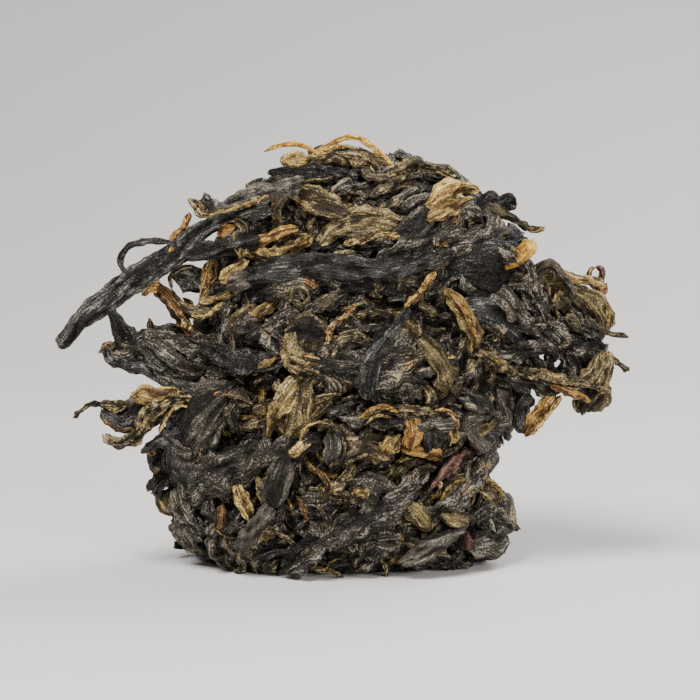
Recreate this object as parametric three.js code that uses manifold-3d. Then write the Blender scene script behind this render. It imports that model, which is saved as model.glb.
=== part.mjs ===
// A piece broken off a pressed cake of black tea, standing upright on its flat broken edge.
// Rolled and twisted leaf strips lie pressed on a lumpy core, and loose ones stand out all round it.
// Millimetres, +Z up. The origin is in the middle of the foot, X runs to the right, and -Y faces the viewer.
import * as THREE from 'three';
import { mergeVertices } from 'three/addons/utils/BufferGeometryUtils.js';
import Module from 'manifold-3d';

const wasm = await Module();
wasm.setup();

// The pressed mass under the strips: its outline at nine heights. left and right are measured from the
// origin along X, front and back from the middle plane.
const core = {
  stations: {
    foot: { height: 0, left: -15, right: 17, front: 8.5, back: 8.5 },
    heel: { height: 4, left: -19.5, right: 19.5, front: 10, back: 10 },
    waist: { height: 14, left: -20, right: 18, front: 10.5, back: 10.5 },
    belly: { height: 22, left: -18, right: 23, front: 11, back: 11 },
    ears: { height: 29, left: -17, right: 25, front: 11, back: 10.5 },
    shoulder: { height: 39, left: -15, right: 23.5, front: 10, back: 9.5 },
    crown: { height: 46, left: -11.5, right: 20, front: 7.5, back: 7.5 },
    brow: { height: 50, left: -8, right: 14, front: 5.5, back: 5.5 },
    top: { height: 53, left: -4, right: 7, front: 2.5, back: 2.5 },
  },
  squareness: 2.5, // exponent of the superellipse that each level follows: 2 is round, more is boxier
  lumps: 0.05, // share of the half width by which the mass swells and sinks
  crumble: 0.7, // mm by which single places of the surface stand out or lie back
  buried: 3, // mm by which it starts below the foot, before the cut
  rings: 17,
  segments: 26,
};

// How the photograph's 700 x 700 pixels meet the middle plane of the piece.
const photo = {
  middle: 350, // pixel at the centre of the frame
  pixelSize: 0.13, // mm that a pixel spans on the middle plane
  distance: 253, // mm from the lens to the middle plane
  elevation: THREE.MathUtils.degToRad(6), // the lens looks down by this much
  aim: new THREE.Vector3(1.95, 0, 28.1), // mm, the point at the frame's centre
};

// What all strips share. Lengths are in mm.
const strip = {
  sides: 5, step: 4.6, leastSteps: 3, mostSteps: 9,
  endWidth: 0.5, // width of an end over the width in the middle
  lobe: 0.16, // how far the section departs from an ellipse, as a share
  twist: 0.6, // radians from end to end
  sunk: 0.35, // how much deeper a pressed strip lies than its lift says
  inset: 4, // how far from the core's sides and top a rooted end is
  reach: 0.4, // and how far from its middle plane, as a share of its depth
};

// Strips that stand free of the mass. route: photograph pixels along the middle of the strip. width and near
// in mm: near is how far the two ends lie in front of the middle plane. flat: thickness over width. root: the
// end that springs from inside the mass.
const freeStrips = {
  rightMass: { width: 8.4, flat: 0.75, near: [5, 3], root: 'start', route: [
    [500, 296], [545, 308], [600, 324]] },
  rightMassLow: { width: 4.6, flat: 0.6, near: [4, 2.5], route: [
    [566, 345], [586, 368], [592, 398]] },
  leftMass: { width: 5.4, flat: 0.6, near: [5, 3.5], root: 'start', route: [
    [205, 352], [165, 350], [118, 346]] },
  leftMassLow: { width: 4, flat: 0.6, near: [5.5, 4], root: 'start', route: [
    [195, 402], [165, 408], [128, 410]] },
  longStalk: { width: 3.1, flat: 0.62, near: [7, 9], root: 'end', route: [
    [60, 344], [80, 321], [103, 304], [138, 276], [172, 256], [198, 233], [226, 216], [262, 206]] },
  hookTendril: { width: 0.9, flat: 0.9, near: [7.6, 7.8], route: [
    [140, 272], [124, 271], [120, 259], [128, 247], [147, 241], [186, 246]] },
  orangeTwig: { width: 0.9, flat: 0.8, near: [6.8, 7.9], route: [
    [190, 213], [183, 226], [172, 238], [170, 252]] },
  gnarledLeaf: { width: 2.1, flat: 0.75, near: [6, 7], root: 'end', route: [
    [189, 201], [206, 203], [228, 202], [252, 194], [290, 184]] },
  crestTip: { width: 0.9, flat: 0.7, near: [3, 3], root: 'end', route: [
    [263, 151], [276, 147], [292, 146], [306, 148], [318, 156], [332, 162]] },
  crestArch: { width: 1, flat: 0.7, near: [3, 2], root: 'end', route: [
    [306, 160], [322, 152], [338, 143], [354, 140], [370, 146], [383, 156], [394, 168], [400, 182]] },
  paleCrestBud: { width: 1.7, flat: 0.7, near: [4, 4], root: 'end', route: [
    [281, 163], [300, 159], [325, 159], [352, 164]] },
  darkCrestLeaf: { width: 2.3, flat: 0.6, near: [5, 5], root: 'end', route: [
    [271, 173], [290, 174], [312, 176], [345, 180]] },
  crestFold: { width: 2.6, flat: 0.6, near: [4, 3], root: 'end', route: [
    [326, 166], [348, 155], [370, 159], [388, 174]] },
  knobStick: { width: 1.6, flat: 0.8, near: [2, 1], root: 'start', route: [
    [386, 176], [408, 166], [425, 168], [442, 170], [455, 175]] },
  paleBudUpper: { width: 1.9, flat: 0.7, near: [7, 4], root: 'start', route: [
    [416, 208], [440, 196], [462, 188], [483, 192]] },
  paleBudLower: { width: 1.6, flat: 0.7, near: [8, 5], root: 'start', route: [
    [430, 221], [452, 213], [470, 204], [481, 197]] },
  rightKnurl: { width: 1.7, flat: 0.85, near: [3, 1], root: 'start', route: [
    [470, 212], [488, 198], [502, 202], [513, 200], [513, 209]] },
  rightStick: { width: 1.3, flat: 0.8, near: [4, 3], root: 'start', route: [
    [488, 214], [512, 215], [526, 226], [543, 229]] },
  yellowRoll: { width: 2.6, flat: 0.9, near: [5, 3], root: 'start', route: [
    [508, 252], [520, 248], [533, 244]] },
  armRight: { width: 1.3, flat: 0.85, near: [6, 4], root: 'start', route: [
    [538, 282], [543, 268], [554, 265], [567, 277], [578, 299], [590, 319], [606, 332], [628, 337]] },
  edgeStrandInner: { width: 1.5, flat: 0.8, near: [8, 6], root: 'start', route: [
    [511, 252], [528, 272], [538, 296], [551, 317], [566, 331]] },
  stubRight: { width: 2, flat: 0.85, near: [3, 2], root: 'start', route: [
    [552, 281], [585, 284], [609, 292]] },
  clawInner: { width: 0.9, flat: 0.9, near: [2, 2], route: [
    [599, 292], [594, 276], [593, 267]] },
  clawOuter: { width: 0.9, flat: 0.9, near: [2, 2], route: [
    [600, 292], [602, 276], [601, 267]] },
  petalRight: { width: 2.7, flat: 0.5, near: [2.5, 1.5], root: 'start', route: [
    [570, 288], [592, 302], [603, 318], [609, 334]] },
  rightBand: { width: 2.6, flat: 0.6, near: [9, 3.5], root: 'start', route: [
    [505, 350], [540, 348], [575, 345], [606, 343]] },
  rightWeave: { width: 2.6, flat: 0.6, near: [8, 2.5], root: 'start', route: [
    [520, 322], [548, 330], [572, 322], [594, 336]] },
  rightFan: { width: 3.1, flat: 0.4, near: [3.2, 3.6], route: [
    [603, 344], [603, 368], [594, 386]] },
  thinStick: { width: 0.8, flat: 0.9, near: [3, 3], route: [
    [598, 350], [608, 357], [618, 363], [627, 370]] },
  brownTwig: { width: 1.3, flat: 0.8, near: [8, 4], root: 'start', route: [
    [520, 372], [548, 377], [576, 382], [611, 392]] },
  paleTip: { width: 1.2, flat: 0.6, near: [6.5, 5], route: [
    [540, 382], [562, 387], [577, 393], [591, 402]] },
  underFlap: { width: 2.7, flat: 0.45, near: [3, 2], route: [
    [600, 382], [598, 396], [587, 410]] },
  smallHook: { width: 1, flat: 0.8, near: [2.4, 2], route: [
    [590, 396], [578, 402], [580, 412]] },
  orangeFlap: { width: 2.8, flat: 0.45, near: [6, 5], route: [
    [556, 386], [543, 410], [527, 436]] },
  smallBall: { width: 1.6, flat: 0.9, near: [3, 2], root: 'start', route: [
    [497, 420], [504, 430], [509, 440]] },
  leftSpike: { width: 1.8, flat: 0.6, near: [3.5, 4.5], route: [
    [112, 304], [114, 318], [124, 330], [146, 342]] },
  leftEar: { width: 3.6, flat: 0.45, near: [4, 7], root: 'end', route: [
    [98, 352], [118, 346], [145, 340], [176, 340], [215, 348]] },
  leftEarLow: { width: 1.9, flat: 0.6, near: [4.6, 7], root: 'end', route: [
    [108, 362], [128, 365], [148, 368], [172, 380], [200, 392]] },
  leftEarTip: { width: 2, flat: 0.5, near: [4.5, 5], root: 'start', route: [
    [178, 325], [162, 331], [140, 340]] },
  leftEarMass: { width: 3.4, flat: 0.6, near: [2.5, 5], root: 'end', route: [
    [132, 352], [160, 358], [190, 368]] },
  fingerUpper: { width: 1.1, flat: 0.8, near: [4.4, 7], root: 'end', route: [
    [72, 418], [84, 407], [100, 403], [118, 406], [140, 402], [172, 400]] },
  leftFlap: { width: 3.1, flat: 0.4, near: [4.5, 6], root: 'end', route: [
    [102, 415], [118, 419], [138, 410], [166, 398]] },
  fingerLower: { width: 1.5, flat: 0.8, near: [5.5, 7.5], root: 'end', route: [
    [106, 436], [122, 439], [140, 433], [152, 420], [172, 402]] },
  goldTuft: { width: 2.2, flat: 0.7, near: [6.6, 8], root: 'end', route: [
    [136, 400], [156, 394], [184, 390]] },
  goldSliver: { width: 0.9, flat: 0.6, near: [7.5, 8.5], root: 'end', route: [
    [158, 433], [166, 418], [178, 402]] },
  darkBulb: { width: 1.8, flat: 0.9, near: [5, 7], root: 'end', route: [
    [141, 453], [152, 450], [168, 440]] },
  goldStub: { width: 1.6, flat: 0.85, near: [3, 7], root: 'end', route: [
    [142, 293], [150, 285], [160, 284], [172, 299], [186, 316], [206, 334]] },
  ovalLeaf: { width: 3.1, flat: 0.55, near: [4, 6], root: 'end', route: [
    [174, 276], [190, 281], [206, 292], [222, 304]] },
  blackTube: { width: 2.6, flat: 0.9, near: [3, 6], root: 'end', route: [
    [182, 250], [200, 248], [222, 247], [256, 246]] },
  ribbedKnot: { width: 1.9, flat: 0.85, near: [8, 8.6], root: 'end', route: [
    [247, 218], [240, 234], [244, 254]] },
  ochreCurl: { width: 1.3, flat: 0.7, near: [5, 8], root: 'end', route: [
    [213, 258], [209, 280], [204, 296], [212, 301], [238, 294]] },
  rolledEnd: { width: 1.7, flat: 0.8, near: [8, 8.6], root: 'end', route: [
    [222, 279], [233, 271], [248, 259]] },
};

// Strips that lie pressed on the front of the mass. lift: mm from the core's surface to the strip's middle.
const pressedStrips = {
  goldStrandUpper: { width: 1.5, flat: 0.8, lift: 1.4, route: [
    [246, 251], [262, 240], [278, 232], [297, 228]] },
  goldStrandLower: { width: 2.2, flat: 0.8, lift: 1.4, route: [
    [246, 255], [270, 254], [293, 244], [312, 233]] },
  fanLeaf: { width: 4.4, flat: 0.45, lift: 0.6, route: [
    [283, 187], [300, 193], [318, 205], [334, 216]] },
  ridgedBand: { width: 3.7, flat: 0.6, lift: 0.8, route: [
    [322, 243], [340, 228], [362, 219], [386, 219], [404, 228]] },
  saddleLeaf: { width: 4.1, flat: 0.5, lift: 1, route: [
    [398, 254], [412, 238], [424, 220], [433, 208]] },
  longDarkLeaf: { width: 3.7, flat: 0.7, lift: 1.5, route: [
    [232, 290], [262, 277], [300, 270], [345, 268], [385, 268], [420, 260], [458, 249]] },
  rightLongLeaf: { width: 3, flat: 0.6, lift: 1, route: [
    [440, 246], [465, 240], [492, 242], [522, 237]] },
  shoulderLeaf: { width: 5.3, flat: 0.4, lift: 0.6, route: [
    [455, 266], [480, 266], [504, 280], [522, 304]] },
  bellyLeaf: { width: 4.8, flat: 0.45, lift: 0.6, route: [
    [468, 300], [488, 308], [508, 322], [532, 338]] },
  goldBendUpper: { width: 2.3, flat: 0.7, lift: 1.6, route: [
    [447, 292], [458, 304], [467, 322], [473, 342], [472, 353]] },
  goldBendLower: { width: 1.5, flat: 0.8, lift: 1.6, route: [
    [470, 350], [488, 356], [507, 366], [526, 377]] },
  curvedLeaf: { width: 3.9, flat: 0.5, lift: 1, route: [
    [408, 318], [394, 340], [378, 362], [370, 384], [366, 402]] },
  stripedLeaf: { width: 3, flat: 0.6, lift: 1, route: [
    [418, 340], [430, 356], [442, 374], [456, 396]] },
  greyCord: { width: 2, flat: 0.8, lift: 1, route: [
    [235, 296], [227, 318], [219, 350]] },
  diagonalCord: { width: 2.2, flat: 0.7, lift: 1, route: [
    [262, 328], [288, 314], [318, 304], [346, 296]] },
  centreColumn: { width: 5.3, flat: 0.5, lift: 1, route: [
    [314, 318], [306, 342], [300, 368], [294, 396], [288, 426]] },
  darkShelf: { width: 3.9, flat: 0.5, lift: 0.8, route: [
    [212, 348], [238, 358], [262, 362], [286, 356]] },
  flatSlab: { width: 5.1, flat: 0.35, lift: 0.7, route: [
    [236, 396], [212, 412], [188, 432]] },
  broadDiagonal: { width: 4.1, flat: 0.5, lift: 0.8, route: [
    [264, 446], [226, 458], [186, 472]] },
  heelLobe: { width: 4.6, flat: 0.6, lift: 0.6, route: [
    [182, 498], [182, 520], [192, 546]] },
  greyStrip: { width: 3.1, flat: 0.6, lift: 1.2, route: [
    [277, 462], [271, 490], [260, 520], [242, 546]] },
  archedLeaf: { width: 2.3, flat: 0.7, lift: 1.1, route: [
    [304, 442], [316, 423], [333, 420], [345, 434], [346, 458], [336, 482]] },
  lowKnot: { width: 4.4, flat: 0.6, lift: 0.2, route: [
    [346, 502], [364, 493], [384, 500]] },
  goldRim: { width: 2.1, flat: 0.7, lift: 0.9, route: [
    [362, 416], [382, 409], [404, 410], [426, 412], [448, 420]] },
  ringLeaf: { width: 3, flat: 0.6, lift: 0.9, route: [
    [452, 494], [478, 486], [500, 495]] },
  footLump: { width: 5.1, flat: 0.7, lift: 0.5, route: [
    [476, 524], [496, 517], [512, 528]] },
  greyRoll: { width: 3, flat: 0.8, lift: 1, route: [
    [404, 564], [432, 547], [456, 530]] },
  waistLobe: { width: 3.3, flat: 0.7, lift: 0.5, route: [
    [496, 390], [502, 408], [496, 430]] },
  waistBall: { width: 3.3, flat: 0.8, lift: 0.5, route: [
    [480, 446], [488, 460], [482, 474]] },
  slantDark: { width: 3.1, flat: 0.6, lift: 0.9, route: [
    [384, 512], [404, 487], [424, 466]] },
};

// Strips laid by rule all round the mass. Lengths are in mm and angles in radians.
const scattered = {
  count: 28, seed: 11, shortest: 10, longest: 18, narrowest: 2.6, widest: 4.6,
  flattest: 0.5, roundest: 0.8, lift: 0.7, slant: 1.1, sway: 0.35, step: 5.5,
  lowest: 0.07, highest: 0.93, // share of the core's height
};

const smallestDetail = 0.08; // mm, what the finished solid may be simplified by

// Repeatable draws between 0 and 1.
function drawsFrom(seed) {
  let state = seed;
  return () => {
    state = (state + 0x6d2b79f5) | 0;
    let t = Math.imul(state ^ (state >>> 15), 1 | state);
    t = (t + Math.imul(t ^ (t >>> 7), 61 | t)) ^ t;
    return ((t ^ (t >>> 14)) >>> 0) / 4294967296;
  };
}

const levels = Object.values(core.stations);
const coreHeight = levels.at(-1).height;

// The core's outline at a height, eased between the two stations around it.
function levelAt(height) {
  const z = THREE.MathUtils.clamp(height, 0, coreHeight);
  const above = Math.max(1, levels.findIndex((level) => level.height >= z));
  const [low, high] = [levels[above - 1], levels[above]];
  const share = (z - low.height) / (high.height - low.height);
  const blend = (name) => THREE.MathUtils.lerp(low[name], high[name], share);
  return { left: blend('left'), right: blend('right'), front: blend('front'), back: blend('back') };
}

const signedPower = (value, power) => Math.sign(value) * Math.abs(value) ** power;

// A point of the core's surface. angle turns about Z from +X, and height is in mm.
function corePoint(angle, height) {
  const level = levelAt(height);
  const wide = Math.sin(3 * angle + 0.21 * height);
  const narrow = Math.sin(7 * angle - 0.43 * height);
  const swell = 1 + core.lumps * (0.6 * wide + 0.4 * narrow);
  const across = signedPower(Math.cos(angle), 2 / core.squareness) * swell;
  const away = signedPower(Math.sin(angle), 2 / core.squareness) * swell;
  const middle = (level.left + level.right) / 2;
  const depth = away < 0 ? level.front : level.back;
  return new THREE.Vector3(middle + (across * (level.right - level.left)) / 2, away * depth, height);
}

// The direction straight out of the core there.
function coreNormal(angle, height) {
  const tiny = 0.01;
  const round = corePoint(angle + tiny, height).sub(corePoint(angle - tiny, height));
  const up = corePoint(angle, height + tiny).sub(corePoint(angle, height - tiny));
  return round.cross(up).normalize();
}

// How far the core's front lies before the middle plane at a place seen from the front.
function frontOf(x, height) {
  const level = levelAt(height);
  const across = Math.abs((x - (level.left + level.right) / 2) / ((level.right - level.left) / 2));
  return across < 1 ? level.front * (1 - across ** core.squareness) ** (1 / core.squareness) : 0;
}

// Where the sight line of a photograph's pixel is `near` mm in front of the middle plane.
function fromPhoto([column, row], near) {
  const { middle, pixelSize, distance, elevation, aim } = photo;
  const forward = new THREE.Vector3(0, Math.cos(elevation), -Math.sin(elevation));
  const up = new THREE.Vector3(0, Math.sin(elevation), Math.cos(elevation));
  const lens = aim.clone().addScaledVector(forward, -distance);
  const sight = forward.clone().addScaledVector(up, ((middle - row) * pixelSize) / distance);
  sight.x += ((column - middle) * pixelSize) / distance;
  return lens.clone().addScaledVector(sight, (-near - lens.y) / sight.y);
}

// The same for a strip that lies on the core: its depth follows the core's front.
function onFront(pixel, lift) {
  let point = fromPhoto(pixel, core.stations.belly.front);
  for (let pass = 0; pass < 3; pass++) point = fromPhoto(pixel, frontOf(point.x, point.z) + lift);
  return point;
}

// A closed mesh as a solid.
function solidOf(geometry) {
  geometry.deleteAttribute('normal');
  geometry.deleteAttribute('uv');
  const merged = mergeVertices(geometry, 1e-4);
  const corners = new Uint32Array(merged.index.array);
  const places = merged.attributes.position.array;
  return new wasm.Manifold(new wasm.Mesh({ numProp: 3, vertProperties: places, triVerts: corners }));
}

// A cylinder whose every vertex is moved by place(angle, share), where share runs from 0 at one end to 1 at
// the other. Vertices in the middle of the two end faces are moved by middle(share).
function shapedCylinder(sides, steps, place, middle) {
  const geometry = new THREE.CylinderGeometry(1, 1, 1, sides, steps);
  const position = geometry.attributes.position;
  for (let i = 0; i < position.count; i++) {
    const [x, y, z] = [position.getX(i), position.getY(i), position.getZ(i)];
    const share = y + 0.5;
    const point = Math.hypot(x, z) > 0.5 ? place(Math.atan2(z, x), share) : middle(share);
    position.setXYZ(i, point.x, point.y, point.z);
  }
  return geometry;
}

// A fixed value between -2 and 2 that jumps from place to place.
const roughness = ({ x, y, z }) => Math.sin(93 * x) + Math.sin(71 * z) * Math.cos(57 * y);

// It starts below the foot, so that the cut at z = 0 leaves a flat one.
function coreSolid() {
  const heightAt = (share) => THREE.MathUtils.lerp(-core.buried, coreHeight, share);
  const middle = (share) => {
    const level = levelAt(heightAt(share));
    return new THREE.Vector3((level.left + level.right) / 2, 0, heightAt(share));
  };
  const place = (angle, share) => {
    const height = heightAt(share);
    const point = corePoint(-angle, height);
    return point.addScaledVector(coreNormal(-angle, height), (core.crumble * roughness(point)) / 2);
  };
  return solidOf(shapedCylinder(core.segments, core.rings, place, middle));
}

// One rolled strip along `points`: a lobed section, wide across `outward` and thin along it, that narrows to
// both ends.
function stripSolid(points, outward, { width, flat, phase, step = strip.step }) {
  const curve = new THREE.CatmullRomCurve3(points, false, 'centripetal');
  const wanted = Math.round(curve.getLength() / step);
  const steps = THREE.MathUtils.clamp(wanted, strip.leastSteps, strip.mostSteps);
  const frameAt = (share) => {
    const along = curve.getTangentAt(share);
    const out = outward.clone().addScaledVector(along, -outward.dot(along)).normalize();
    return { point: curve.getPointAt(share), out, side: along.clone().cross(out) };
  };
  const place = (angle, share) => {
    const { point, out, side } = frameAt(share);
    const turn = strip.twist * (share - 0.5);
    const narrow = strip.endWidth + (1 - strip.endWidth) * Math.sin(Math.PI * share) ** 0.5;
    const lobed = 1 + strip.lobe * Math.sin(3 * angle + phase + 5 * share);
    const across = (Math.cos(angle) * narrow * lobed * width) / 2;
    const through = (Math.sin(angle) * narrow * lobed * width * flat) / 2;
    return point
      .addScaledVector(side, across * Math.cos(turn) - through * Math.sin(turn))
      .addScaledVector(out, across * Math.sin(turn) + through * Math.cos(turn));
  };
  return solidOf(shapedCylinder(strip.sides, steps, place, (share) => frameAt(share).point));
}

const towardsViewer = new THREE.Vector3(0, -1, 0);

// The closest place to a point that is well inside the core.
function insideCore({ x, y, z }) {
  const level = levelAt(z);
  const { clamp } = THREE.MathUtils;
  const { inset, reach } = strip;
  return new THREE.Vector3(
    clamp(x, level.left + inset, level.right - inset),
    clamp(y, -level.front * reach, level.back * reach),
    clamp(z, 0, coreHeight - inset),
  );
}

function freeSolid({ route, near, root, ...look }, index) {
  const last = route.length - 1;
  const points = route.map((pixel, i) => fromPhoto(pixel, THREE.MathUtils.lerp(near[0], near[1], i / last)));
  if (root === 'start') points.unshift(insideCore(points[0]));
  if (root === 'end') points.push(insideCore(points[last]));
  return stripSolid(points, towardsViewer, { ...look, phase: index });
}

function pressedSolid({ route, lift, ...look }, index) {
  const points = route.map((pixel) => onFront(pixel, lift - strip.sunk));
  return stripSolid(points, towardsViewer, { ...look, phase: index });
}

// Strips spread evenly round the core and up it.
function scatteredSolids() {
  const draw = drawsFrom(scattered.seed);
  const between = (low, high) => low + (high - low) * draw();
  const goldenTurn = Math.PI * (3 - Math.sqrt(5));
  return Array.from({ length: scattered.count }, (_, i) => {
    const angle = (i * goldenTurn) % (2 * Math.PI);
    const rise = THREE.MathUtils.lerp(scattered.lowest, scattered.highest, i / scattered.count);
    const height = coreHeight * rise;
    const length = between(scattered.shortest, scattered.longest);
    const slant = between(-scattered.slant, scattered.slant);
    const sway = between(-scattered.sway, scattered.sway);
    const { left, right } = levelAt(height);
    const radius = (right - left) / 3;
    const points = [-1 / 2, -1 / 6, 1 / 6, 1 / 2].map((share) => {
      const bearing = slant + sway * share * 2;
      const turned = angle + (Math.cos(bearing) * length * share) / radius;
      const raised = THREE.MathUtils.clamp(height + Math.sin(bearing) * length * share, 0, coreHeight);
      return corePoint(turned, raised).addScaledVector(coreNormal(turned, raised), scattered.lift);
    });
    const look = {
      width: between(scattered.narrowest, scattered.widest),
      flat: between(scattered.flattest, scattered.roundest),
      phase: i,
      step: scattered.step,
    };
    return stripSolid(points, coreNormal(angle, height), look);
  });
}

// Everything below the surface that the piece stands on.
function groundSolid() {
  const [width, depth, thickness] = [120, 80, 20];
  return solidOf(new THREE.BoxGeometry(width, depth, thickness)).translate([0, 0, -thickness / 2]);
}

function teaPiece() {
  const parts = [
    coreSolid(),
    ...Object.values(freeStrips).map(freeSolid),
    ...Object.values(pressedStrips).map(pressedSolid),
    ...scatteredSolids(),
  ];
  const fused = wasm.Manifold.union(parts).subtract(groundSolid()).simplify(smallestDetail);
  // A scrap that touches nothing is dropped, and a hollow that the strips seal is filled.
  const largest = fused.decompose().reduce((a, b) => (a.volume() > b.volume() ? a : b));
  const { vertProperties, triVerts } = largest.getMesh();
  const geometry = new THREE.BufferGeometry();
  geometry.setAttribute('position', new THREE.BufferAttribute(vertProperties, 3));
  geometry.setIndex(new THREE.BufferAttribute(triVerts, 1));
  geometry.computeVertexNormals();
  const material = new THREE.MeshStandardMaterial({ color: 0x2e2a25, roughness: 0.7, metalness: 0 });
  const mesh = new THREE.Mesh(geometry, material);
  mesh.name = 'tea_piece';
  return mesh;
}

const brokenTeaCake = new THREE.Group();
brokenTeaCake.add(teaPiece());

export default brokenTeaCake;
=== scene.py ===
import math
import bpy
import numpy as np
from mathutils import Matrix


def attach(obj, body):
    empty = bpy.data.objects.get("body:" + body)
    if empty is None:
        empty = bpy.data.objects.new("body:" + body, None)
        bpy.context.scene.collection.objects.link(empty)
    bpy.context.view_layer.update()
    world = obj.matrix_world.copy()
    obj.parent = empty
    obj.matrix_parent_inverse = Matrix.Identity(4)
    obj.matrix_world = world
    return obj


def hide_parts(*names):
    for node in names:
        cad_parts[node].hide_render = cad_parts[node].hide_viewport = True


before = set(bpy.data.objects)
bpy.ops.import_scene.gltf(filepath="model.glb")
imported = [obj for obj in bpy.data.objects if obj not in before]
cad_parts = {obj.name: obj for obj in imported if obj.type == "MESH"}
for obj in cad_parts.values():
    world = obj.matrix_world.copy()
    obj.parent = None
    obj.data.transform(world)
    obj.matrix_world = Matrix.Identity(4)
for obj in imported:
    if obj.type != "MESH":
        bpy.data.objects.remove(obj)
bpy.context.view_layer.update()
node = "tea_piece"
mm = 0.001  # every length below is in millimetres until a mesh is made

# The photograph's view. Strips are placed by the pixels of a 700 x 700 frame.
photo = {
    "middle": 350,  # pixel at the centre of the frame
    "pixelSize": 0.13,  # mm that a pixel spans on the middle plane
    "distance": 253,  # from the lens to the middle plane
    "elevation": 6,  # degrees by which the lens looks down
    "aim": (1.95, 0, 28.1),  # the point at the frame's centre
    "lens": 100,
}

# The mass under the leaves: height, left, right, front and back of its outline at nine heights.
core = {
    "stations": [
        (0, -15, 17, 8.5, 8.5),
        (4, -19.5, 19.5, 10, 10),
        (14, -20, 18, 10.5, 10.5),
        (22, -18, 23, 11, 11),
        (29, -17, 25, 11, 10.5),
        (39, -15, 23.5, 10, 9.5),
        (46, -11.5, 20, 7.5, 7.5),
        (50, -8, 14, 5.5, 5.5),
        (53, -4, 7, 2.5, 2.5),
    ],
    "squareness": 2.5,
    "lumps": 0.05,
    "segments": 110,
    "rings": 70,
    "coarse": (0.35, 0.9),  # how often its larger roughness comes to the mm, and how high it is
    "fine": (1.1, 0.4),
    "sink": 2,  # by which it lies under the leaves
}

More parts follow.
